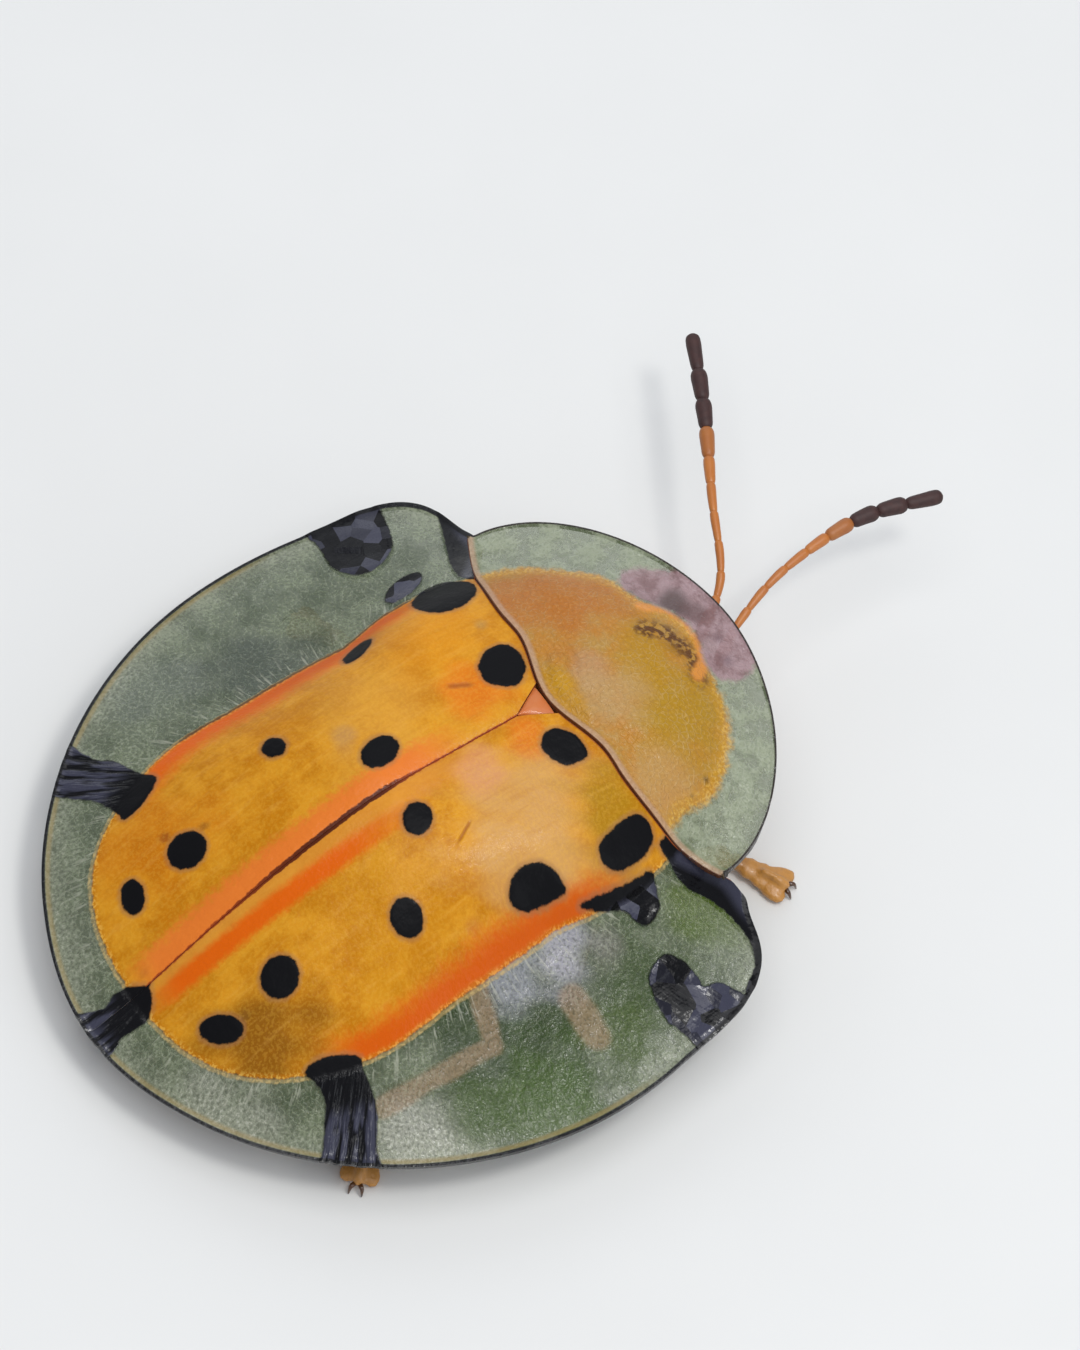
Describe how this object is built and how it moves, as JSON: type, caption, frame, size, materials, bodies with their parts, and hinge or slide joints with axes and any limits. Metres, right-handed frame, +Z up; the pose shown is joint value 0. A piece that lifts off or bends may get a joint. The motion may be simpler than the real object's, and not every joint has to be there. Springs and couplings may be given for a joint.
{
  "type": "tortoise beetle model",
  "caption": "Life-size tortoise beetle at rest: spotted domed wing cases with a wide clear rim, shield-like pronotum, short legs, slender feelers.",
  "frame": {"origin": "middle of the whole beetle's plan at ground level, feelers included", "axes": "+Z up, head towards -Y, the beetle's left towards +X"},
  "size_m": [0.0126, 0.0186, 0.0042],
  "materials": {
    "wing_case": "glossy golden orange with black spots and a clear rim",
    "collar": "glossy amber with a clear rim",
    "shield": "satin pinkish orange",
    "body": "satin amber brown",
    "leg": "satin tan orange",
    "feeler": "satin orange brown with a dark tip",
    "eye": "glossy black, faceted"
  },
  "bodies": {
    "root": {"elytron_left": "wing_case", "elytron_right": "wing_case", "pronotum": "collar", "scutellum": "shield", "head": "body", "eye_left": "eye", "eye_right": "eye", "mouthparts": "leg", "antenna_left": "feeler", "antenna_right": "feeler", "prothorax": "body", "thorax": "body", "abdomen": "body", "front_left_femur": "leg", "front_left_tibia": "leg", "front_left_tarsus": "leg", "middle_left_femur": "leg", "middle_left_tibia": "leg", "middle_left_tarsus": "leg", "hind_left_femur": "leg", "hind_left_tibia": "leg", "hind_left_tarsus": "leg", "front_right_femur": "leg", "front_right_tibia": "leg", "front_right_tarsus": "leg", "middle_right_femur": "leg", "middle_right_tibia": "leg", "middle_right_tarsus": "leg", "hind_right_femur": "leg", "hind_right_tibia": "leg", "hind_right_tarsus": "leg"}
  },
  "joints": []
}
